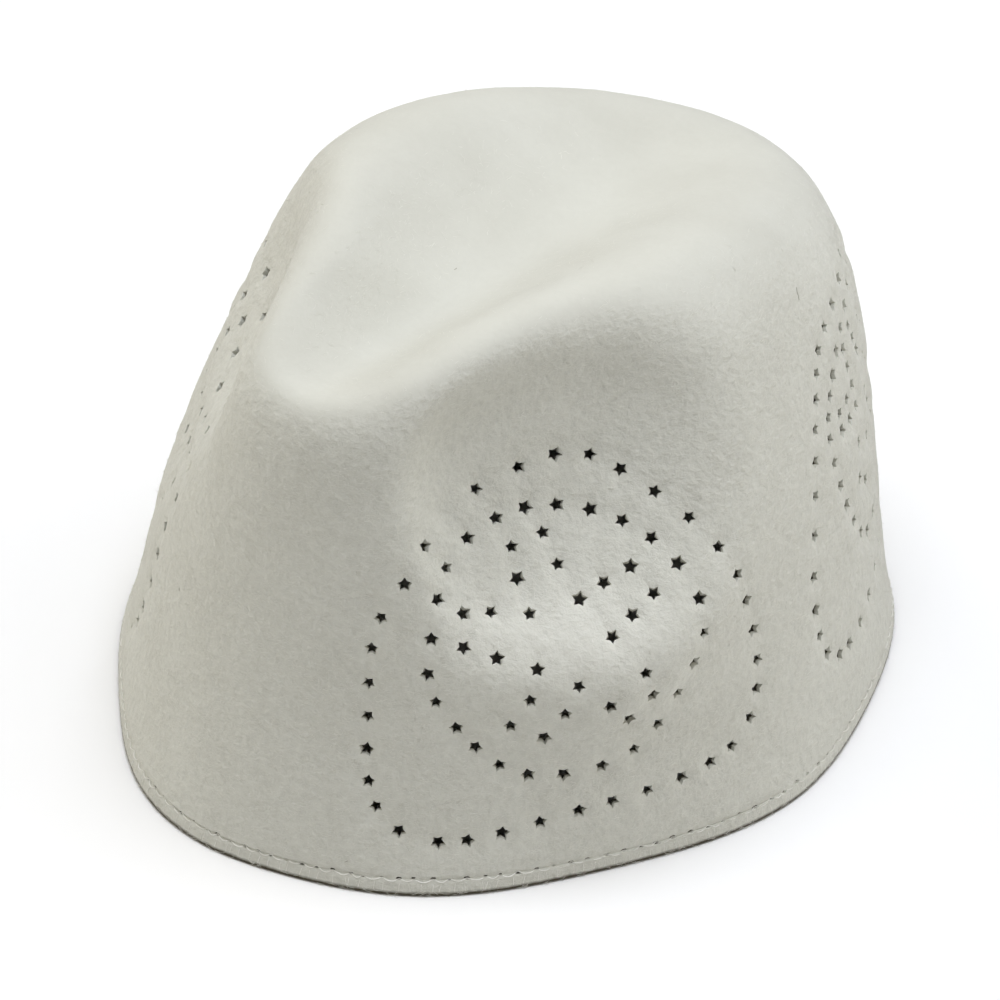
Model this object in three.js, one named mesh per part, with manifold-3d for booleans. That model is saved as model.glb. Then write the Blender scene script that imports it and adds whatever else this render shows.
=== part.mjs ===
// A kufi cap blocked from one piece of felt: a deep bowl, a pinch on each side of the nose, a teardrop
// dent in the top, and rings of star punches in its wall. Millimetres, +Z up. The hem lies flat on z = 0,
// the nose points to -Y and the wearer's left is +X.

import * as THREE from 'three';
import { mergeVertices } from 'three/addons/utils/BufferGeometryUtils.js';
import Module from 'manifold-3d';

// Driving dimensions
const halfLength = 97.5;      // from the hem's centre to its front
const halfWidth = 86.25;      // from the hem's centre to its side
const domeHeight = 129;       // height of the blocked dome before it is dented
const wall = 2.4;             // thickness of the felt
const punchSize = 3.2;        // star punch, across its points
const punchNotch = 1.5;       // star punch, across its inner corners
const starPoints = 5;

// How fine the faceted skin is
const stepsAround = 52;
const stepsUp = 18;

// The blocked dome, a row for each direction. taper is the share of the reach that is lost at the top;
// inward and upward are the powers that round the shoulder, 1 being a circle's own curve.
const domeRows = {
  front: { taper: 0.34, inward: 0.25, upward: 0.34 },
  back: { taper: 0.11, inward: 0.85, upward: 0.25 },
  side: { taper: 0.27, inward: 0.45, upward: 0.49 },
};
const planPower = 1.84;       // superellipse power of the plan
const nosePower = 2.09;       // the same at the nose's top, which is squarer
const eggShare = 0.052;       // how much narrower the front half is than the back half
const leanShare = 0.0715;     // how far the dome leans back, as a share of its height

// Dents pressed into the sides by finger and thumb, a row each. depth and farDepth (on the wearer's right)
// are shares of halfWidth. along, toFront and toBack are shares of halfLength, measured from the centre
// towards +Y. height, toTop and toHem are shares of domeHeight. slope is the rise along the dent, and
// edge is how sharply it ends.
const sideDents = [
  { name: 'pinch', depth: 0.162, farDepth: 0.073, along: -0.412, height: 0.631,
    toFront: 0.203, toBack: 0.344, toTop: 0.223, toHem: 0.225, slope: 0.39, edge: 4.13 },
  { name: 'fold above the pinch', depth: 0.066, farDepth: 0.106, along: -0.28, height: 0.752,
    toFront: 0.261, toBack: 0.26, toTop: 0.28, toHem: 0.166, slope: 0.366, edge: 4.52 },
  { name: 'swell below the pinch', depth: -0.086, farDepth: 0, along: -0.399, height: 0.42,
    toFront: 0.201, toBack: 0.328, toTop: 0.0815, toHem: 0.108, slope: 0.3, edge: 2.06 },
];
const farShift = -0.028;      // how much further forward the dents on the wearer's right lie, of halfLength
const dentFade = 0.29;        // the side dents fade out this near the middle, of halfWidth

// The teardrop in the top. depth is of domeHeight, width of halfWidth, the rest of halfLength; the width
// grows by widening for each millimetre towards the back.
const teardrop = { depth: 0.188, along: -0.1655, toFront: 0.3605, toBack: 1.184,
  width: 0.3495, widening: 0.123, edge: 1.8, ends: 4.95 };
// The teardrop's deeper tip behind the nose, with the same shares.
const tip = { depth: 0.0397, along: -0.5245, length: 0.082, width: 0.17 };
// The nose pressed forward. push and width are of halfWidth, height and spread of domeHeight.
const nose = { push: 0.1223, width: 0.694, height: 0.881, spread: 0.336 };

// The ring of star punches, charted once. around is in degrees from the line where the cap is folded for
// punching, rise is in degrees as in feltPoint, and punches counts the stars from one row's point to the
// next row's, along a smooth closed curve through the points.
const punchRing = [
  { around: 61, rise: 32.5, punches: 3 },
  { around: 75, rise: 32, punches: 3 },
  { around: 81.5, rise: 28.5, punches: 3 },
  { around: 79.5, rise: 21, punches: 3 },
  { around: 71.5, rise: 13.5, punches: 3 },
  { around: 56, rise: 13, punches: 3 },
  { around: 44.5, rise: 18.5, punches: 2 },
  { around: 39.5, rise: 23.5, punches: 2 },
  { around: 44, rise: 29, punches: 3 },
];
const foldLine = -8;          // degrees from the nose: the far half mirrors the near half about it
const pairLine = 100.4;       // degrees from the fold: the back motif mirrors the front one about it
const punchTurn = 137.5;      // degrees that each star is turned from the one before, as by hand

const wasm = await Module();
wasm.setup();

// The felt's outer face at an angle around from the nose towards +X and an angle of rise, both in radians.
function feltPoint(around, rise) {
  const forward = Math.cos(around);
  const sideways = Math.sin(around);
  const shares = {
    front: Math.max(forward, 0) ** 2,
    back: Math.max(-forward, 0) ** 2,
    side: sideways ** 2,
  };
  const blend = (column) => Object.keys(domeRows)
    .reduce((sum, row) => sum + shares[row] * domeRows[row][column], 0);
  const inward = blend('inward');
  const upward = blend('upward');
  const crown = rise > Math.PI / 2 - 1e-6;
  const turn = crown ? Math.PI / 2 : Math.atan(Math.tan(rise) ** (2 / (inward + upward)));
  const climb = Math.sin(turn) ** upward;
  const power = planPower + (nosePower - planPower) * Math.max(forward, 0) * climb;
  const plan = (Math.abs(forward) ** power + Math.abs(sideways) ** power) ** (-1 / power);
  const reach = crown ? 0 : plan * Math.cos(turn) ** inward * (1 - blend('taper') * climb);
  const dome = new THREE.Vector3(
    halfWidth * sideways * reach * (1 - eggShare * forward),
    -halfLength * forward * reach + leanShare * domeHeight * climb,
    domeHeight * climb,
  );
  const noseFade = Math.exp(-((dome.x / (nose.width * halfWidth)) ** 2)
    - ((dome.z / domeHeight - nose.height) / nose.spread) ** 2);
  return new THREE.Vector3(
    dome.x - sideDent(dome),
    dome.y - nose.push * halfWidth * noseFade * Math.max(forward, 0),
    dome.z - topDent(dome) * climb ** 2,
  );
}

// How far the side dents push a point of the dome towards the middle.
function sideDent(dome) {
  const far = dome.x < 0;
  const fade = THREE.MathUtils.clamp(dome.x / (dentFade * halfWidth), -1, 1);
  return sideDents.reduce((sum, dent) => {
    const along = dome.y - (dent.along + (far ? farShift : 0)) * halfLength;
    const up = dome.z - dent.height * domeHeight - dent.slope * along;
    const u = along / (halfLength * (along < 0 ? dent.toFront : dent.toBack));
    const v = up / (domeHeight * (up > 0 ? dent.toTop : dent.toHem));
    const depth = halfWidth * (far ? dent.farDepth : dent.depth);
    return sum + fade * depth * Math.exp(-(Math.hypot(u, v) ** dent.edge));
  }, 0);
}

// How far the teardrop and its tip press a point of the dome down.
function topDent(dome) {
  const along = dome.y - teardrop.along * halfLength;
  const u = Math.abs(along) / (halfLength * (along < 0 ? teardrop.toFront : teardrop.toBack));
  const width = teardrop.width * halfWidth + teardrop.widening * dome.y;
  const v = Math.abs(dome.x) / Math.max(width, tip.width * halfWidth);
  const bowl = teardrop.depth * Math.exp(-(u ** teardrop.ends) - v ** teardrop.edge);
  const tipU = (dome.y / halfLength - tip.along) / tip.length;
  const tipV = dome.x / (tip.width * halfWidth);
  return domeHeight * (bowl + tip.depth * Math.exp(-(tipU ** 2) - tipV ** 2));
}

// One face of the felt as an indexed grid with a single vertex at the crown.
function feltSkin() {
  const points = [];
  for (let row = 0; row < stepsUp; row += 1) {
    for (let step = 0; step < stepsAround; step += 1) {
      const around = (2 * Math.PI * step) / stepsAround;
      points.push(feltPoint(around, (Math.PI / 2) * (row / stepsUp)));
    }
  }
  points.push(feltPoint(0, Math.PI / 2));
  const crown = points.length - 1;
  const index = [];
  for (let row = 0; row < stepsUp; row += 1) {
    for (let step = 0; step < stepsAround; step += 1) {
      const next = (step + 1) % stepsAround;
      const low = row * stepsAround + step;
      const lowNext = row * stepsAround + next;
      if (row === stepsUp - 1) {
        index.push(low, lowNext, crown);
      } else {
        index.push(low, lowNext, low + stepsAround);
        index.push(lowNext, lowNext + stepsAround, low + stepsAround);
      }
    }
  }
  const skin = new THREE.BufferGeometry().setFromPoints(points);
  skin.setIndex(index);
  skin.computeVertexNormals();
  return skin;
}

// The whole shell: the outer skin, the inner skin one wall inside it, and the flat hem between them.
function feltShell() {
  const skin = feltSkin();
  const outer = skin.getAttribute('position');
  const normal = skin.getAttribute('normal');
  const faces = Array.from(skin.getIndex().array);
  const points = [];
  for (let i = 0; i < outer.count; i += 1) {
    points.push(new THREE.Vector3().fromBufferAttribute(outer, i));
  }
  for (let i = 0; i < outer.count; i += 1) {
    const inwards = new THREE.Vector3().fromBufferAttribute(normal, i).negate();
    if (i < stepsAround) {
      inwards.setZ(0).normalize();
    }
    points.push(points[i].clone().addScaledVector(inwards, wall));
  }
  const index = [...faces];
  for (let i = 0; i < faces.length; i += 3) {
    index.push(faces[i] + outer.count, faces[i + 2] + outer.count, faces[i + 1] + outer.count);
  }
  for (let step = 0; step < stepsAround; step += 1) {
    const next = (step + 1) % stepsAround;
    index.push(step, step + outer.count, next);
    index.push(next, step + outer.count, next + outer.count);
  }
  const shell = new THREE.BufferGeometry().setFromPoints(points);
  shell.setIndex(index);
  return shell;
}

// The punches of the charted ring, as around and rise in degrees.
function ringPunches(rows) {
  const corners = rows.map((row) => new THREE.Vector3(row.around, row.rise, 0));
  const curve = new THREE.CatmullRomCurve3(corners, true, 'catmullrom', 0.5);
  return rows.flatMap((row, i) => Array.from({ length: row.punches }, (_, k) => {
    const point = curve.getPoint((i + k / row.punches) / rows.length);
    return { around: point.x, rise: point.y };
  }));
}

// A punch's four places: in the front ring, in its pair behind it, and in both mirrored about the fold.
function fourPlaces(punch) {
  const pair = 2 * pairLine - punch.around;
  return [punch.around, pair, -punch.around, -pair].map((around) => ({
    around: THREE.MathUtils.degToRad(foldLine + around),
    rise: THREE.MathUtils.degToRad(punch.rise),
  }));
}

// The punch itself, a star-shaped bar centred on the origin along Z.
function starBar() {
  const star = new THREE.Shape(Array.from({ length: 2 * starPoints }, (_, i) => {
    const radius = (i % 2 === 0 ? punchSize : punchNotch) / 2;
    const angle = (Math.PI * i) / starPoints;
    return new THREE.Vector2(radius * Math.cos(angle), radius * Math.sin(angle));
  }));
  const length = 3 * wall;
  const bar = new THREE.ExtrudeGeometry(star, { depth: length, bevelEnabled: false });
  return bar.translate(0, 0, -length / 2);
}

// Stands a bar through the middle of the wall, square to the felt.
function placeBar(bar, place, number) {
  const step = 0.01;
  const point = feltPoint(place.around, place.rise);
  const rightwards = feltPoint(place.around + step, place.rise).sub(point);
  const upwards = feltPoint(place.around, place.rise + step).sub(point);
  const outwards = rightwards.cross(upwards).normalize();
  const upright = new THREE.Quaternion().setFromUnitVectors(new THREE.Vector3(0, 0, 1), outwards);
  return bar.clone()
    .rotateZ(THREE.MathUtils.degToRad(punchTurn * number))
    .applyQuaternion(upright)
    .translate(...point.addScaledVector(outwards, -wall / 2).toArray());
}

function toSolid(geometry) {
  const bare = geometry.clone();
  bare.deleteAttribute('normal');
  bare.deleteAttribute('uv');
  const merged = mergeVertices(bare);
  return new wasm.Manifold(new wasm.Mesh({
    numProp: 3,
    vertProperties: new Float32Array(merged.getAttribute('position').array),
    triVerts: new Uint32Array(merged.getIndex().array),
  }));
}

function toGeometry(solid) {
  const mesh = solid.getMesh();
  const geometry = new THREE.BufferGeometry();
  geometry.setAttribute('position', new THREE.BufferAttribute(mesh.vertProperties, 3));
  geometry.setIndex(new THREE.BufferAttribute(mesh.triVerts, 1));
  geometry.computeVertexNormals();
  return geometry;
}

// The felt crown, punched through along its four rings.
function feltCrown() {
  const bar = starBar();
  const places = ringPunches(punchRing).flatMap(fourPlaces);
  const punched = places.reduce(
    (solid, place, number) => solid.subtract(toSolid(placeBar(bar, place, number))),
    toSolid(feltShell()),
  );
  const felt = new THREE.MeshStandardMaterial({ color: 0xe6e6df, roughness: 0.95, metalness: 0 });
  const crown = new THREE.Mesh(toGeometry(punched), felt);
  crown.name = 'felt_crown';
  return crown;
}

const cap = new THREE.Group();
cap.add(feltCrown());

export default cap;
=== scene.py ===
import bmesh
import bpy
import math
import random
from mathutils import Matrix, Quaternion, Vector, noise
from mathutils.kdtree import KDTree


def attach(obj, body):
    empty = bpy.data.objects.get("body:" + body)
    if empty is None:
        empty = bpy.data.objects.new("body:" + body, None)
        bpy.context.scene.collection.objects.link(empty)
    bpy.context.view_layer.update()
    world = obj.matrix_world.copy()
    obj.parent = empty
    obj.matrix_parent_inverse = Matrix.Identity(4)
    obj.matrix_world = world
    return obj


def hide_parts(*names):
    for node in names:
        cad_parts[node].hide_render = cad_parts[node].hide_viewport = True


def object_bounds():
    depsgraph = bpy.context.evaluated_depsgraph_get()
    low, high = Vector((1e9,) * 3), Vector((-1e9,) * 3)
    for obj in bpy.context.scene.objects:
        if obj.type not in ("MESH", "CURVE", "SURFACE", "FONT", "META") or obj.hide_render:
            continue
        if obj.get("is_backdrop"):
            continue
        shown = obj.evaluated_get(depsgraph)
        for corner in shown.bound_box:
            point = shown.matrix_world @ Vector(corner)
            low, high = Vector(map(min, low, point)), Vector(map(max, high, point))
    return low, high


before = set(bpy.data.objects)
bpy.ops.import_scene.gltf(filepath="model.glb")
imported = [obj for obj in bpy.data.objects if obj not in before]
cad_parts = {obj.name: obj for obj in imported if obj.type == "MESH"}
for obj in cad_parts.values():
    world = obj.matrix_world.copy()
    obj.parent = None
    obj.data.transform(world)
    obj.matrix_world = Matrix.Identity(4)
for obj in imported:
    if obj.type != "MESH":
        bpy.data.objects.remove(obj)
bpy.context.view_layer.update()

# The felt crown. One cone of pressed wool felt is steamed and pulled over a block, so the cap is one wall
# without a seam. While it is damp its sides are pinched beside the nose and its top is pressed into a
# teardrop. Folded flat, it is then punched with a small star punch through both layers.
bpy.ops.object.select_all(action="DESELECT")
mm = 0.001
half_length = 97.5 * mm
half_width = 86.25 * mm
dome_height = 129 * mm
wall = 2.4 * mm

# The blocked dome, a row for each direction: taper is the share of the reach lost at the top, and inward
# and upward are the powers that round the shoulder.
dome_rows = {
    "front": {"taper": 0.34, "inward": 0.25, "upward": 0.34},
    "back": {"taper": 0.11, "inward": 0.85, "upward": 0.25},
    "side": {"taper": 0.27, "inward": 0.45, "upward": 0.49},
}
plan_power = 1.84
nose_power = 2.09
egg_share = 0.052
lean_share = 0.0715

# Side dents: depths are shares of half_width, along, to_front and to_back of half_length, and height,
# to_top and to_hem of dome_height.
side_dents = [
    # the pinch beside the nose
    {"depth": 0.162, "far_depth": 0.073, "along": -0.412, "height": 0.631, "to_front": 0.203,
     "to_back": 0.344, "to_top": 0.223, "to_hem": 0.225, "slope": 0.39, "edge": 4.13},
    # the fold above the pinch
    {"depth": 0.066, "far_depth": 0.106, "along": -0.28, "height": 0.752, "to_front": 0.261,
     "to_back": 0.26, "to_top": 0.28, "to_hem": 0.166, "slope": 0.366, "edge": 4.52},
    # the swell below the pinch
    {"depth": -0.086, "far_depth": 0, "along": -0.399, "height": 0.416, "to_front": 0.201,
     "to_back": 0.328, "to_top": 0.0815, "to_hem": 0.108, "slope": 0.3, "edge": 2.06},
    # the ledge on the swell
    {"depth": -0.05, "far_depth": 0, "along": -0.42, "height": 0.4, "to_front": 0.16,
     "to_back": 0.27, "to_top": 0.07, "to_hem": 0.19, "slope": 0.12, "edge": 2},
]
far_shift = -0.028
dent_fade = 0.29
teardrop = {"depth": 0.188, "along": -0.1655, "to_front": 0.3605, "to_back": 1.184,
            "width": 0.3495, "widening": 0.123, "edge": 1.8, "ends": 4.95}
tip = {"depth": 0.0397, "along": -0.5245, "length": 0.082, "width": 0.17}
nose = {"push": 0.1223, "width": 0.694, "height": 0.881, "spread": 0.336}
top_gap = 1e-4


def side_dent(dome):
    far = dome.x < 0
    fade = max(-1, min(1, dome.x / (dent_fade * half_width)))
    total = 0
    for dent in side_dents:
        along = dome.y - (dent["along"] + (far_shift if far else 0)) * half_length
        up = dome.z - dent["height"] * dome_height - dent["slope"] * along
        u = along / (half_length * dent["to_front" if along < 0 else "to_back"])
        v = up / (dome_height * dent["to_top" if up > 0 else "to_hem"])
        depth = half_width * dent["far_depth" if far else "depth"]
        total += fade * depth * math.exp(-math.hypot(u, v) ** dent["edge"])
    return total


def top_dent(dome):
    along = dome.y - teardrop["along"] * half_length
    u = abs(along) / (half_length * teardrop["to_front" if along < 0 else "to_back"])
    width = teardrop["width"] * half_width + teardrop["widening"] * dome.y
    v = abs(dome.x) / max(width, tip["width"] * half_width)
    bowl = teardrop["depth"] * math.exp(-u ** teardrop["ends"] - v ** teardrop["edge"])
    tip_u = (dome.y / half_length - tip["along"]) / tip["length"]
    tip_v = dome.x / (tip["width"] * half_width)
    return dome_height * (bowl + tip["depth"] * math.exp(-tip_u ** 2 - tip_v ** 2))


def felt_point(around, rise):
    """The felt's outer face at an angle round from the nose towards +X and an angle of rise."""
    forward, sideways = math.cos(around), math.sin(around)
    shares = {"front": max(forward, 0) ** 2, "back": max(-forward, 0) ** 2, "side": sideways ** 2}
    taper, inward, upward = (
        sum(shares[row] * dome_rows[row][column] for row in dome_rows)
        for column in ("taper", "inward", "upward")
    )
    at_top = rise > math.pi / 2 - top_gap
    turn = math.pi / 2 if at_top else math.atan(math.tan(max(rise, 0)) ** (2 / (inward + upward)))
    climb = math.sin(turn) ** upward
    power = plan_power + (nose_power - plan_power) * max(forward, 0) * climb
    plan = (abs(forward) ** power + abs(sideways) ** power) ** (-1 / power)
    reach = 0 if at_top else plan * math.cos(turn) ** inward * (1 - taper * climb)
    dome = Vector((half_width * sideways * reach * (1 - egg_share * forward),
                   -half_length * forward * reach + lean_share * dome_height * climb,
                   dome_height * climb))
    nose_fade = math.exp(-(dome.x / (nose["width"] * half_width)) ** 2
                         - ((dome.z / dome_height - nose["height"]) / nose["spread"]) ** 2)
    return Vector((dome.x - side_dent(dome),
                   dome.y - nose["push"] * half_width * nose_fade * max(forward, 0),
                   dome.z - top_dent(dome) * climb ** 2))


# The felt is slightly uneven, a row for the depth in mm and the length of each unevenness. The hem stands
# out a little and waves as it goes round, as a hand-cut edge does.
uneven_rows = [(0.3, 17 * mm), (0.1, 6 * mm)]
even_height = 8 * mm
hem_flare = 0.65 * mm
hem_wave = 1.0 * mm
hem_waves = 7
hem_wave_start = math.radians(35)
flare_height = 9 * mm


def felt_face(around, rise):
    """The same point on felt that is slightly uneven, and the way outwards there."""
    step = 0.01
    ring = rise - step / 10
    rightwards = felt_point(around + step, ring) - felt_point(around - step, ring)
    upwards = felt_point(around, rise + step) - felt_point(around, rise - step)
    outwards = rightwards.cross(upwards).normalized()
    place = felt_point(around, rise)
    uneven = sum(depth * noise.noise(place / length) for depth, length in uneven_rows)
    flare = hem_flare + hem_wave * math.cos(hem_waves * (around - hem_wave_start))
    flare *= math.exp(-(place.z / flare_height) ** 2)
    place += Vector((outwards.x, outwards.y, 0)) * flare
    return place + outwards * uneven * mm * min(1, place.z / even_height), outwards


# The punched motif, as around and rise in degrees and the punches from each row to the next.
outer_ring = [(33.5, 10.5, 3), (30.5, 19.5, 3), (31.5, 28, 2), (44.5, 32.5, 4), (72.5, 36, 3),
              (83, 33, 3), (89.5, 26.5, 3), (93.5, 17, 3), (88, 9.5, 5), (64, 8, 4), (43.5, 6.5, 2)]
inner_ring = [(61, 32.5, 3), (75, 32, 3), (81.5, 28.5, 3), (79.5, 21, 3), (71.5, 13.5, 3), (56, 13, 3),
              (44.5, 18.5, 2), (39.5, 23.5, 2), (44, 29, 3)]
figure = [(60, 26.5, 2), (62, 30.5, 1), (67.5, 31, 2), (67.5, 27, 2), (76, 28.5, 1), (76.5, 27, 2),
          (68, 25, 2), (72, 19.5, 1), (69, 17.5, 2), (60.5, 22, 2), (57, 17, 1), (52, 18.5, 2),
          (56, 23.5, 2), (46, 25.5, 1), (49, 27.5, 2)]
fold_line = -8
pair_line = 100.4


def charted(rows, smooth):
    """The punches along a closed chart, evenly between its rows, on a smooth curve or straight lines."""
    points = [Vector(row[:2]) for row in rows]
    found = []
    for i, row in enumerate(rows):
        before, here, after, beyond = (points[(i + k) % len(rows)] for k in (-1, 0, 1, 2))
        leave = (after - before) / 2 if smooth else after - here
        arrive = (beyond - here) / 2 if smooth else after - here
        for k in range(row[2]):
            t = k / row[2]
            found.append(here * (2 * t ** 3 - 3 * t ** 2 + 1) + leave * (t ** 3 - 2 * t ** 2 + t)
                         + after * (3 * t ** 2 - 2 * t ** 3) + arrive * (t ** 3 - t ** 2))
    return found


motif = charted(outer_ring, True) + charted(inner_ring, True) + charted(figure, False)
punches = []
for spot in motif:
    pair = 2 * pair_line - spot.x
    for around in (spot.x, pair, -spot.x, -pair):
        punches.append(felt_face(math.radians(fold_line + around), math.radians(spot.y)))
dimples = KDTree(len(punches))
for number, (place, outwards) in enumerate(punches):
    dimples.insert(place, number)
dimples.balance()
dimple_depth = 1.15 * mm
dimple_reach = 2.5 * mm
dimple_end = 3 * dimple_reach
shared_dimple = 1.15

# The block: a round dome whose points each know their angles, pressed into the cap's shape.
block_segments = 300
block_rings = 180
tiny = 1e-6
bpy.ops.mesh.primitive_uv_sphere_add(segments=block_segments, ring_count=block_rings, radius=1)
crown = bpy.context.object
crown.name = "felt_crown_finish"
bpy.ops.object.mode_set(mode="EDIT")
bpy.ops.mesh.select_all(action="SELECT")
bpy.ops.mesh.bisect(plane_co=(0, 0, 0), plane_no=(0, 0, 1), clear_inner=True)
bpy.ops.object.mode_set(mode="OBJECT")
for vertex in crown.data.vertices:
    x, y, z = vertex.co
    place, _ = felt_face(math.atan2(x, -y), math.atan2(z, math.hypot(x, y)))
    if z < tiny:
        place.z = 0
    vertex.co = place

# A row of stitches runs round the hem and draws the felt in along a shallow groove.
stitch_height = 4 * mm
groove_reach = 0.8 * mm
groove_depth = 0.3 * mm
groove_slack = 0.02 * mm
bpy.ops.object.mode_set(mode="EDIT")
for level in (stitch_height - groove_reach, stitch_height, stitch_height + groove_reach):
    bpy.ops.mesh.select_all(action="SELECT")
    bpy.ops.mesh.bisect(plane_co=(0, 0, level), plane_no=(0, 0, 1))
bpy.ops.object.mode_set(mode="OBJECT")
# Blender's own faces come in an order that changes from run to run, and the nap is drawn face by face. So
# each face is made to start at its first point, and the faces are made again in the order of their points.
cut_points = [vertex.co.copy() for vertex in crown.data.vertices]
cut_faces = []
for face in crown.data.polygons:
    corners = list(face.vertices)
    start = corners.index(min(corners))
    cut_faces.append(corners[start:] + corners[:start])
crown.data.clear_geometry()
crown.data.from_pydata(cut_points, [], sorted(cut_faces))
for vertex in crown.data.vertices:
    if abs(vertex.co.z - stitch_height) < groove_slack:
        vertex.co -= vertex.normal * groove_depth
crown.data.update()
face_points = [vertex.co.copy() for vertex in crown.data.vertices]

# The wall, with its outer face drawn in a little round each punch. Where punches are close together they
# draw it in only a little further than one does.
thickness = crown.modifiers.new("wall", "SOLIDIFY")
thickness.thickness = wall
thickness.offset = -1
thickness.use_even_offset = True
bpy.ops.object.modifier_apply(modifier=thickness.name)
outer_first = 0 if (crown.data.vertices[0].co - face_points[0]).length < tiny else len(face_points)
outer = range(outer_first, outer_first + len(face_points))
ways = [crown.data.vertices[index].normal.copy() for index in outer]
for index, outwards in zip(outer, ways):
    place = crown.data.vertices[index].co.copy()
    near = sum(math.exp(-(distance / dimple_reach) ** 2)
               for _, _, distance in dimples.find_range(place, dimple_end))
    crown.data.vertices[index].co = place - outwards * dimple_depth * min(near, shared_dimple)
crown.data.update()
patches = [(face.area, [crown.data.vertices[i].co.copy() for i in face.vertices], face.normal.copy())
           for face in crown.data.polygons if all(i in outer for i in face.vertices)]

# The hem is cut flat and its corners are worn round.
hem_trim = 0.5 * mm
hem_round = 1.1 * mm
facing_down = -0.9
shell = bmesh.new()
shell.from_mesh(crown.data)
for vertex in shell.verts:
    if vertex.co.z < hem_trim:
        vertex.co.z = 0
shell.normal_update()
corners = [edge for edge in shell.edges if max(end.co.z for end in edge.verts) == 0
           and sum(face.normal.z < facing_down for face in edge.link_faces) == 1]
bmesh.ops.bevel(shell, geom=corners, offset=hem_round, segments=4, profile=0.5, affect="EDGES")
bmesh.ops.triangulate(shell, faces=shell.faces)
shell.to_mesh(crown.data)
shell.free()

# The star punch, cut square through the felt with a slightly wider mouth. Each row is a depth below the
# face, the reach of the points, and the reach of the corners between them.
star_rows = [
    (4.2 * mm, 1.52 * mm, 0.80 * mm),
    (0.50 * mm, 1.52 * mm, 0.80 * mm),
    (0.10 * mm, 1.62 * mm, 0.95 * mm),
    (-0.90 * mm, 1.80 * mm, 1.20 * mm),
]
# One punch only marked the felt, and a few ended in it at the depth of this row.
half_cut_row = (1.3 * mm, 1.2 * mm, 0.7 * mm)
marked_only = 36
half_cut = (40, 104, 232)
# The needle's pit, the same way: a small round dent, wider than it is high.
pit_rows = [
    (1.0 * mm, 0.15 * mm, 0.15 * mm),
    (0.5 * mm, 0.4 * mm, 0.4 * mm),
    (0.15 * mm, 0.6 * mm, 0.6 * mm),
    (-0.35 * mm, 1.0 * mm, 1.0 * mm),
]
pit_height_share = 0.5
stitch_count = 144
bar_sides = 10
hem_rise = math.radians(8)
hem_halvings = 12
cutter = bmesh.new()


def cut_bar(place, outwards, rows, twist, size, height_share=1):
    """Adds a bar of rings, square to the felt, to what is cut away."""
    upright = outwards.to_track_quat("Z", "Y")
    rings = []
    for depth, point_reach, corner_reach in rows:
        ring = []
        for i in range(bar_sides):
            reach = (corner_reach if i % 2 else point_reach) * size
            angle = twist + 2 * math.pi * i / bar_sides
            ring.append(cutter.verts.new(place + upright @ Vector((
                reach * math.cos(angle), height_share * reach * math.sin(angle), -depth))))
        rings.append(ring)
    for low, high in zip(rings, rings[1:]):
        for i in range(bar_sides):
            ahead = (i + 1) % bar_sides
            cutter.faces.new((low[i], low[ahead], high[ahead], high[i]))
    cutter.faces.new(reversed(rings[0]))
    cutter.faces.new(rings[-1])


def hem_face(around, height):
    """The felt's face at a height near the hem, found by halving, and the way outwards there."""
    low, high = 0, hem_rise
    for _ in range(hem_halvings):
        middle = (low + high) / 2
        if felt_point(around, middle).z < height:
            low = middle
        else:
            high = middle
    return felt_face(around, middle)


# The punch is turned every way and struck a little harder or softer each time. The needle drifts by shares
# of a stitch along the hem and of a millimetre up it.
punch_sizes = (0.9, 1.1)
pit_sizes = (0.6, 1.2)
pit_twist = 0.25
pit_drift_along = 0.07
pit_drift_up = 0.1
draws = random.Random(7)
for number, (place, outwards) in enumerate(punches):
    twist = draws.uniform(0, 2 * math.pi)
    size = draws.uniform(*punch_sizes)
    rows = star_rows
    if number in half_cut:
        rows = [half_cut_row] + star_rows[1:]
    if number != marked_only:
        cut_bar(place - outwards * dimple_depth, outwards, rows, twist, size)
pit_places = []
pit_centres = []
for number in range(stitch_count):
    around = 2 * math.pi * (number + draws.gauss(0, pit_drift_along)) / stitch_count
    place, outwards = hem_face(around, stitch_height + draws.gauss(0, pit_drift_up) * mm)
    place -= outwards * groove_depth
    twist = draws.gauss(0, pit_twist)
    cut_bar(place, outwards, pit_rows, twist, draws.uniform(*pit_sizes), pit_height_share)
    pit_places.append(around)
    pit_centres.append((place, outwards))
star_mesh = bpy.data.meshes.new("punches")
cutter.to_mesh(star_mesh)
cutter.free()
star_bars = bpy.data.objects.new("punches", star_mesh)
bpy.context.scene.collection.objects.link(star_bars)
bpy.ops.object.select_all(action="DESELECT")
bpy.context.view_layer.objects.active = crown
crown.select_set(True)
punched = crown.modifiers.new("punched", "BOOLEAN")
punched.operation = "DIFFERENCE"
punched.solver = "MANIFOLD"
punched.object = star_bars
bpy.ops.object.modifier_apply(modifier=punched.name)
bpy.data.objects.remove(star_bars)
bpy.ops.object.shade_smooth_by_angle(angle=math.radians(35))


def add_node(material, kind, inputs=None, settings=None):
    """A node with its settings and inputs, where an input is a value or another node's output."""
    made = material.node_tree.nodes.new(kind)
    for name, value in (settings or {}).items():
        setattr(made, name, value)
    for name, value in (inputs or {}).items():
        if isinstance(value, bpy.types.NodeSocket):
            material.node_tree.links.new(value, made.inputs[name])
        else:
            made.inputs[name].default_value = value
    return made


def add_material(name, roughness):
    """A new material and its shader."""
    material = bpy.data.materials.new(name)
    material.use_nodes = True
    shader = material.node_tree.nodes["Principled BSDF"]
    shader.inputs["Roughness"].default_value = roughness
    return material, shader


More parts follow.
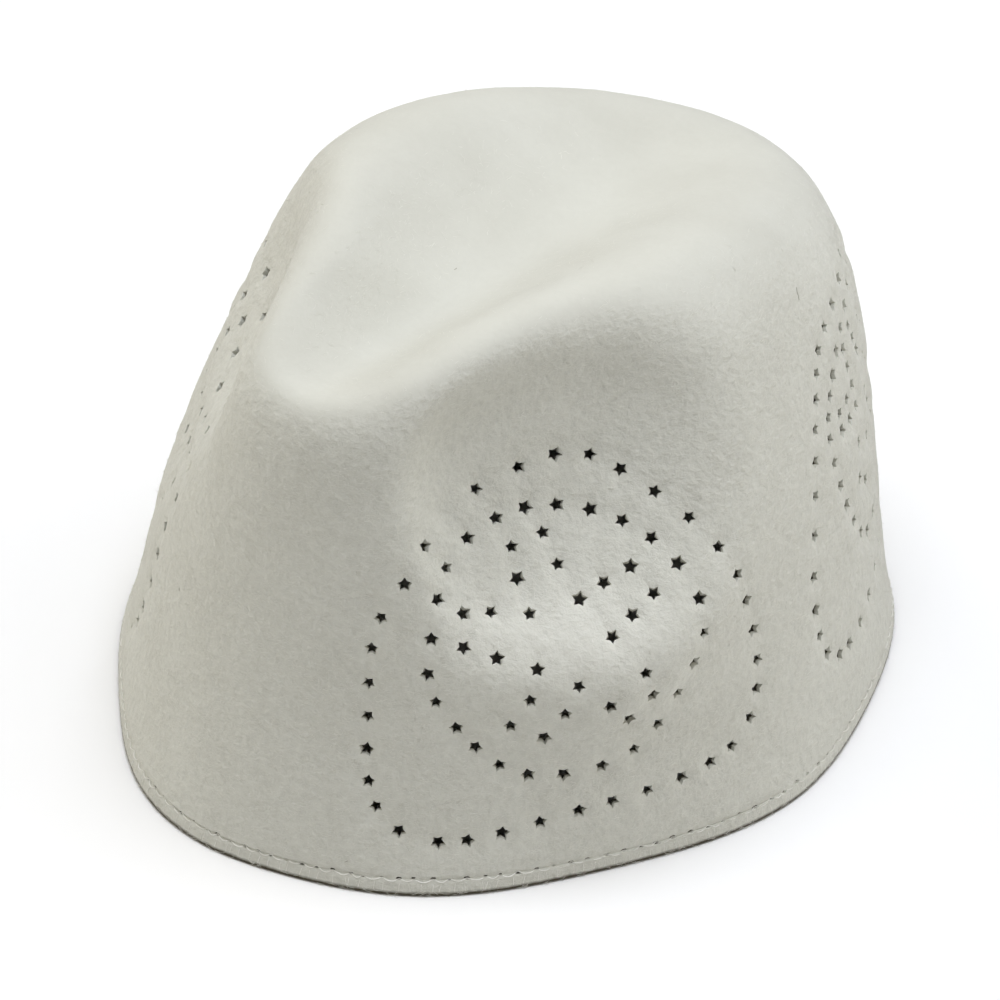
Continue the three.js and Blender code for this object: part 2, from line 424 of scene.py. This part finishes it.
def mottle(material, shader, clouds_per_metre, dark, light):
    """Colours a material's shader in small clouds between two tones."""
    spot = add_node(material, "ShaderNodeTexCoord").outputs["Object"]
    clouds = add_node(material, "ShaderNodeTexNoise", {
        "Vector": spot, "Scale": clouds_per_metre, "Detail": 2})
    tones = add_node(material, "ShaderNodeMix", {
        "Factor": clouds.outputs["Fac"], "A": (*dark, 1), "B": (*light, 1)}, {"data_type": "RGBA"})
    material.node_tree.links.new(tones.outputs["Result"], shader.inputs["Base Color"])


# Pressed wool felt: soft clouds of lighter and darker wool, a fine grain, and single fibres that lie in the
# surface every way round. Each fibre layer is a noise drawn out to a fibre's length, and its middle line
# shows.
felt, shader = add_material("wool felt", 0.95)
spot = add_node(felt, "ShaderNodeTexCoord").outputs["Object"]
clouds = add_node(felt, "ShaderNodeTexNoise", {"Vector": spot, "Scale": 45, "Detail": 3}).outputs["Fac"]
grain = add_node(felt, "ShaderNodeTexNoise", {"Vector": spot, "Scale": 560, "Detail": 3}).outputs["Fac"]
fibres = None
for turn in (25, 115):
    laid = add_node(felt, "ShaderNodeMapping", {
        "Vector": spot, "Rotation": (0, math.radians(6), math.radians(turn)),
        "Scale": (5 * mm, 1.1 * mm, 0.9 * mm)}, {"vector_type": "TEXTURE"})
    wave = add_node(felt, "ShaderNodeTexNoise", {
        "Vector": laid.outputs["Vector"], "Scale": 1, "Detail": 1})
    level = add_node(felt, "ShaderNodeMath", {0: wave.outputs["Fac"], 1: 0.5}, {"operation": "SUBTRACT"})
    line = add_node(felt, "ShaderNodeMath", {0: level.outputs["Value"]}, {"operation": "ABSOLUTE"})
    strand = add_node(felt, "ShaderNodeMapRange", {
        "Value": line.outputs["Value"], "From Max": 0.045, "To Min": 1, "To Max": 0}).outputs["Result"]
    if fibres is None:
        fibres = strand
    else:
        both = add_node(felt, "ShaderNodeMath", {0: fibres, 1: strand}, {"operation": "MAXIMUM"})
        fibres = both.outputs["Value"]
wool = add_node(felt, "ShaderNodeMix", {
    "Factor": clouds, "A": (0.59, 0.583, 0.515, 1), "B": (0.695, 0.693, 0.625, 1)},
    {"data_type": "RGBA"})
speckle = add_node(felt, "ShaderNodeMapRange", {
    "Value": grain, "From Min": 0.3, "From Max": 0.7, "To Min": 0.95, "To Max": 1.04})
speckled = add_node(felt, "ShaderNodeVectorMath", {
    0: wool.outputs["Result"], "Scale": speckle.outputs["Result"]}, {"operation": "SCALE"})
# The block has ironed the top smooth, and the felt's grain and fibres show on the sides.
rough = add_node(felt, "ShaderNodeAttribute", settings={"attribute_name": "rough"}).outputs["Fac"]
grained = add_node(felt, "ShaderNodeMix", {
    "Factor": rough, "A": wool.outputs["Result"], "B": speckled.outputs["Vector"]},
    {"data_type": "RGBA"})
# Painted highlight: on the near side, the swell below the pinch is painted a little paler for the light it
# catches.
painted_swell_light = add_node(felt, "ShaderNodeAttribute", settings={"attribute_name": "painted_swell_light"}).outputs["Fac"]
with_swell_light = add_node(felt, "ShaderNodeMix", {
    "Factor": painted_swell_light, "A": grained.outputs["Result"], "B": (0.75, 0.745, 0.675, 1)},
    {"data_type": "RGBA"})
fibre_share = add_node(felt, "ShaderNodeMath", {0: fibres, 1: rough}, {"operation": "MULTIPLY"})
fibre_part = add_node(felt, "ShaderNodeMath", {
    0: fibre_share.outputs["Value"], 1: 0.15}, {"operation": "MULTIPLY"})
strands = add_node(felt, "ShaderNodeMix", {
    "Factor": fibre_part.outputs["Value"], "A": with_swell_light.outputs["Result"], "B": (0.86, 0.86, 0.81, 1)},
    {"data_type": "RGBA"})
# Painted shade: where the hem meets the floor, the lowest millimetre and a half of the felt is painted dark
# brown in a ragged band.
height = add_node(felt, "ShaderNodeSeparateXYZ", {"Vector": spot}).outputs["Z"]
ragged_shade_height = add_node(felt, "ShaderNodeMath", {
    0: grain, 1: 0.5 * mm, 2: height}, {"operation": "MULTIPLY_ADD"})
painted_hem_shade = add_node(felt, "ShaderNodeMapRange", {
    "Value": ragged_shade_height.outputs["Value"], "From Min": 1.0 * mm, "From Max": 1.7 * mm,
    "To Min": 1, "To Max": 0})
felt_tone_with_hem_shade = add_node(felt, "ShaderNodeMix", {
    "Factor": painted_hem_shade.outputs["Result"], "A": strands.outputs["Result"], "B": (0.06, 0.05, 0.028, 1)},
    {"data_type": "RGBA"})
relief = add_node(felt, "ShaderNodeMath", {0: fibres, 1: 0.06, 2: grain}, {"operation": "MULTIPLY_ADD"})
bump = add_node(felt, "ShaderNodeBump", {
    "Height": relief.outputs["Value"], "Strength": rough, "Distance": 0.42 * mm})
felt.node_tree.links.new(felt_tone_with_hem_shade.outputs["Result"], shader.inputs["Base Color"])
felt.node_tree.links.new(bump.outputs["Normal"], shader.inputs["Normal"])
shader.inputs["Specular IOR Level"].default_value = 0.15
shader.inputs["Sheen Weight"].default_value = 0.15
shader.inputs["Sheen Roughness"].default_value = 0.5

# Painted shade: the walls and floors of the punched stars and the needle's pits are painted near black, for
# the shade down in these holes.
painted_hole_shade, hole_shade_shader = add_material("painted shade in holes", 1)
mottle(painted_hole_shade, hole_shade_shader, 1600, (0.03, 0.027, 0.018), (0.27, 0.26, 0.21))
hole_shade_shader.inputs["Specular IOR Level"].default_value = 0

# Where the felt is ironed smooth, which is where it is high and faces up, and where the swell below the
# pinch takes its painted highlight.
ironed_share = 0.8
ironed_from = 80 * mm
ironed_over = 8 * mm
level_from = 0.5
level_over = 0.3
swell_light_along = -44 * mm
swell_light_height = 58 * mm
swell_light_length = 16 * mm
swell_light_width = 7 * mm
roughness = crown.data.attributes.new("rough", "FLOAT", "POINT")
swell_light_values = crown.data.attributes.new("painted_swell_light", "FLOAT", "POINT")
for vertex in crown.data.vertices:
    level = max(0, min(1, (vertex.normal.z - level_from) / level_over))
    high = max(0, min(1, (vertex.co.z - ironed_from) / ironed_over))
    roughness.data[vertex.index].value = 1 - ironed_share * level * high
    # the painted highlight on the swell, on the near side only
    if vertex.co.x > 0:
        swell_light_values.data[vertex.index].value = math.exp(-((vertex.co.y - swell_light_along) / swell_light_length) ** 2
                                                    - ((vertex.co.z - swell_light_height) / swell_light_width) ** 2)

# The faces that take the painted hole shade: the stars' walls below the worn mouth, the floors of those
# that end in the felt, and the pits below their mouths.
star_reach = 3.2 * mm
star_mouth = 0.4 * mm
wall_slant = 0.7
floor_reach = 2.4 * mm
floor_top = 0.7 * mm
floor_bottom = 1.7 * mm
pit_reach = 1.2 * mm
pit_mouth = 0.12 * mm
pits = KDTree(len(pit_centres))
for number, (place, outwards) in enumerate(pit_centres):
    pits.insert(place, number)
pits.balance()
crown.data.materials.clear()
crown.data.materials.append(felt)
crown.data.materials.append(painted_hole_shade)
for face in crown.data.polygons:
    _, number, distance = dimples.find(face.center)
    place, outwards = punches[number]
    below = (place - face.center).dot(outwards) - dimple_depth
    if distance < star_reach and below > star_mouth and abs(face.normal.dot(outwards)) < wall_slant:
        face.material_index = 1
    if distance < floor_reach and floor_top < below < floor_bottom:
        face.material_index = 1
    _, number, distance = pits.find(face.center)
    place, outwards = pit_centres[number]
    if distance < pit_reach and (place - face.center).dot(outwards) > pit_mouth:
        face.material_index = 1
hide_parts("felt_crown")
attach(crown, "root")

# The nap. Single wool fibres lie loose on the felt's face and stand out a little from it, which makes its
# outline soft. They lie mostly level on the sides and every way on the top, where most are ironed flat.
bpy.ops.object.select_all(action="DESELECT")
nap_count = 60000
nap_width = 0.08 * mm
# pairs are the least and the most, in mm where they are lengths
ironed_slopes = (0.3, 1.0)
side_slope = 0.6
half_lengths = (0.4, 1.5)
middle_rises = (0.02, 0.1)
standing_share = 0.1
standing_rises = (0.2, 0.8)
lying_rises = (-0.08, 0.05)
root_depth = 0.03 * mm
punch_clearance = 2.0 * mm
side_turn = 0.4
bend = 0.7
tilt = 0.15
draws = random.Random(11)
nap_points = []
nap_faces = []
nap_ways = []
for _, corners, outwards in draws.choices(patches, [patch[0] for patch in patches], k=nap_count):
    across, upwards = draws.random(), draws.random()
    root = corners[0].lerp(corners[1], across).lerp(corners[-1].lerp(corners[-2], across), upwards)
    level = Vector((0, 0, 1)).cross(outwards)
    if level.length < draws.uniform(*ironed_slopes):
        continue
    turn = draws.gauss(0, side_turn) if level.length > side_slope else draws.uniform(0, math.pi)
    lying = Quaternion(outwards, turn) @ level.normalized() * draws.choice((-1, 1))
    bending = Quaternion(outwards, draws.gauss(0, bend)) @ lying
    half = draws.uniform(*half_lengths) * mm
    middle = root + lying * half + outwards * draws.uniform(*middle_rises) * mm
    end_rises = standing_rises if draws.random() < standing_share else lying_rises
    end = middle + bending * half + outwards * draws.uniform(*end_rises) * mm
    if min(dimples.find(point)[2] for point in (root, middle, end)) < punch_clearance:
        continue
    side = Quaternion(lying, draws.gauss(0, tilt)) @ outwards.cross(lying) * nap_width / 2
    first = len(nap_points)
    nap_points += [root + side - outwards * root_depth, root - side - outwards * root_depth,
                   middle - side, middle + side, end]
    nap_faces += [(first, first + 1, first + 2, first + 3), (first + 3, first + 2, first + 4)]
    nap_ways += [outwards] * 5
for point in nap_points:
    point.z = max(point.z, 0)
nap_mesh = bpy.data.meshes.new("felt_nap")
nap_mesh.from_pydata(nap_points, [], nap_faces)
nap_mesh.shade_smooth()
nap_mesh.normals_split_custom_set_from_vertices(nap_ways)
nap = bpy.data.objects.new("felt_nap", nap_mesh)
bpy.context.scene.collection.objects.link(nap)
loose_wool, wool_shader = add_material("loose wool", 0.8)
mottle(loose_wool, wool_shader, 300, (0.60, 0.592, 0.52), (0.90, 0.895, 0.83))
nap.data.materials.append(loose_wool)
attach(nap, "root")

# The stitches at the hem. A thin pale cotton thread runs round the hem just under the needle's pits and
# dips into the felt at each, and finer threads tie it down to the cut edge.
thread_drop = 0.42 * mm
thread_height = stitch_height - thread_drop
thread_size = 0.28 * mm
thread_drift_up = 0.09 * mm
thread_drift_out = 0.05 * mm
thread_sizes = (0.75, 1.15)
# each stitch's four points: how far they stand over the groove, and how far over the thread's height
stitch_rows = [(-0.45 * mm, 0.46 * mm), (0.06 * mm, 0.12 * mm), (0.12 * mm, -0.16 * mm), (0.1 * mm, 0)]
stitch_points = len(stitch_rows)
thread_curve = bpy.data.curves.new("hem_thread", "CURVE")
thread_curve.dimensions = "3D"
thread_curve.bevel_depth = thread_size / 2
thread_curve.bevel_resolution = 1
thread_curve.resolution_u = 3
draws = random.Random(23)
run = thread_curve.splines.new("NURBS")
run.points.add(stitch_points * stitch_count - 1)
run.use_cyclic_u = True
run.order_u = 3
for number in range(len(run.points)):
    stand, lift = stitch_rows[number % stitch_points]
    here = pit_places[number // stitch_points]
    ahead = pit_places[(number // stitch_points + 1) % stitch_count]
    if ahead < here:
        ahead += 2 * math.pi
    up = thread_height + lift + draws.gauss(0, thread_drift_up)
    place, outwards = hem_face(here + (ahead - here) * (number % stitch_points) / stitch_points, up)
    place += outwards * (stand - groove_depth / 2 + draws.gauss(0, thread_drift_out))
    run.points[number].co = (*place, 1)
    run.points[number].radius = draws.uniform(*thread_sizes)
# each tie's four points: how far up they are from its foot to the thread, and how far out from the felt
tie_rows = [(1, -0.1 * mm), (0.65, 0.03 * mm), (0.3, 0.05 * mm), (0, -0.4 * mm)]
tie_count = stitch_count * 3 // 2
tie_drift = 0.35
tie_sway = 0.005
tie_foot = 0.5 * mm
tie_size = 0.48
for number in range(tie_count):
    around = 2 * math.pi * (number + draws.uniform(-tie_drift, tie_drift)) / tie_count
    sway = draws.gauss(0, tie_sway)
    tie = thread_curve.splines.new("NURBS")
    tie.points.add(len(tie_rows) - 1)
    tie.order_u = 3
    for point, (share, stand) in zip(tie.points, tie_rows):
        up = tie_foot + share * (thread_height - tie_foot)
        place, outwards = hem_face(around + sway * (1 - share), up)
        point.co = (*(place + outwards * stand), 1)
        point.radius = tie_size
thread = bpy.data.objects.new("hem_thread", thread_curve)
bpy.context.scene.collection.objects.link(thread)
bpy.context.view_layer.objects.active = thread
thread.select_set(True)
bpy.ops.object.convert(target="MESH")
bpy.ops.object.shade_smooth()
cotton, cotton_shader = add_material("cotton thread", 0.5)
mottle(cotton, cotton_shader, 160, (0.62, 0.61, 0.54), (1.0, 0.99, 0.95))
spot = add_node(cotton, "ShaderNodeTexCoord").outputs["Object"]
ply = add_node(cotton, "ShaderNodeTexNoise", {"Vector": spot, "Scale": 5000}).outputs["Fac"]
ply_bump = add_node(cotton, "ShaderNodeBump", {"Height": ply, "Strength": 0.5, "Distance": 0.04 * mm})
cotton.node_tree.links.new(ply_bump.outputs["Normal"], cotton_shader.inputs["Normal"])
thread.data.materials.append(cotton)
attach(thread, "root")

# The lint. A short dark hair and three specks of dust are caught in the felt, as they are on any pale wool
# that has been handled. They lie loose on its face.
stray_size = 0.14 * mm
stray_stand = 0.05 * mm
stray_curve = bpy.data.curves.new("stray_lint", "CURVE")
stray_curve.dimensions = "3D"
stray_curve.bevel_depth = stray_size / 2
stray_curve.bevel_resolution = 1
# each row is one strand's points, as degrees round and degrees up
stray_rows = [
    [(116.9, 42.2), (116.2, 41.9), (115.9, 41.5), (115.4, 41.2)],
    [(21.8, 4.0), (22.3, 4.2)],
    [(323, 82.2), (325, 81.8)],
    [(336.8, 22.1), (337.1, 21.9)],
]
for row in stray_rows:
    strand = stray_curve.splines.new("POLY")
    strand.points.add(len(row) - 1)
    for point, (around, rise) in zip(strand.points, row):
        place, outwards = felt_face(math.radians(around), math.radians(rise))
        point.co = (*(place + outwards * stray_stand), 1)
stray = bpy.data.objects.new("stray_lint", stray_curve)
bpy.context.scene.collection.objects.link(stray)
bpy.ops.object.select_all(action="DESELECT")
bpy.context.view_layer.objects.active = stray
stray.select_set(True)
bpy.ops.object.convert(target="MESH")
lint, lint_shader = add_material("dark lint", 0.8)
mottle(lint, lint_shader, 900, (0.2, 0.18, 0.13), (0.5, 0.48, 0.4))
stray.data.materials.append(lint)
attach(stray, "root")

# The studio. The cap stands on a wide sheet of dull white paper, which runs on past the view. A black world
# leaves all the light to the soft boxes.
bpy.ops.object.select_all(action="DESELECT")
paper_width = 20
bpy.ops.mesh.primitive_plane_add(size=paper_width)
floor = bpy.context.object
floor.name = "floor"
paper, paper_shader = add_material("white paper", 1)
paper_shader.inputs["Base Color"].default_value = (0.985, 0.98, 0.975, 1)
paper_shader.inputs["Specular IOR Level"].default_value = 0
floor.data.materials.append(paper)
floor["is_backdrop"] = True

world = bpy.data.worlds.new("studio")
bpy.context.scene.world = world
world.use_nodes = True
world.node_tree.nodes["Background"].inputs["Color"].default_value = (1, 1, 1, 1)
world.node_tree.nodes["Background"].inputs["Strength"].default_value = 0
bpy.context.scene.view_settings.view_transform = "Standard"

# Round soft boxes aimed at the cap, as degrees round from the nose towards +X, degrees up, watts and
# colour. Those high up are a little cooler than the low ones.
box_distance = 1.6
box_size = 1.4
cool = (0.94, 0.973, 1.05)
warm = (1, 0.943, 0.8)
soft_boxes = [
    (0, 90, 17.7, cool),
    (135, 60, 6.5, cool),
    (180, 60, 2.5, cool),
    (270, 30, 6.0, warm),
    (315, 30, 6.4, warm),
    (90, 30, 4.0, warm),
    (135, 30, 3.1, warm),
]
aim = Vector((0, 0, 60 * mm))
for around, rise, power, colour in soft_boxes:
    around, rise = math.radians(around), math.radians(rise)
    way = Vector((math.sin(around) * math.cos(rise), -math.cos(around) * math.cos(rise), math.sin(rise)))
    bpy.ops.object.light_add(type="AREA", location=aim + way * box_distance)
    box = bpy.context.object
    box.data.shape = "DISK"
    box.data.size = box_size
    box.data.energy = power
    box.data.color = colour
    box.rotation_euler = way.to_track_quat("Z", "Y").to_euler()

# The camera is aimed at the floor under the cap's middle, and its shift puts that point at these pixels of
# a picture that is image_size wide and high.
camera_azimuth = math.radians(39.96)
camera_elevation = math.radians(37.97)
camera_distance = 1.6527
pixels_per_metre = 4363.6
image_size = 1000
origin_across = 497.2
origin_down = 643.3
sensor_width = 36
camera_data = bpy.data.cameras.new("camera")
camera = bpy.data.objects.new("camera", camera_data)
bpy.context.scene.collection.objects.link(camera)
back = Vector((math.sin(camera_azimuth) * math.cos(camera_elevation),
               -math.cos(camera_azimuth) * math.cos(camera_elevation), math.sin(camera_elevation)))
camera.location = back * camera_distance
camera.rotation_mode = "QUATERNION"
camera.rotation_quaternion = back.to_track_quat("Z", "Y")
camera_data.sensor_width = sensor_width
camera_data.lens = sensor_width * pixels_per_metre * camera_distance / image_size
camera_data.shift_x = (image_size / 2 - origin_across) / image_size
camera_data.shift_y = (origin_down - image_size / 2) / image_size
bpy.context.scene.camera = camera

low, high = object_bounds()
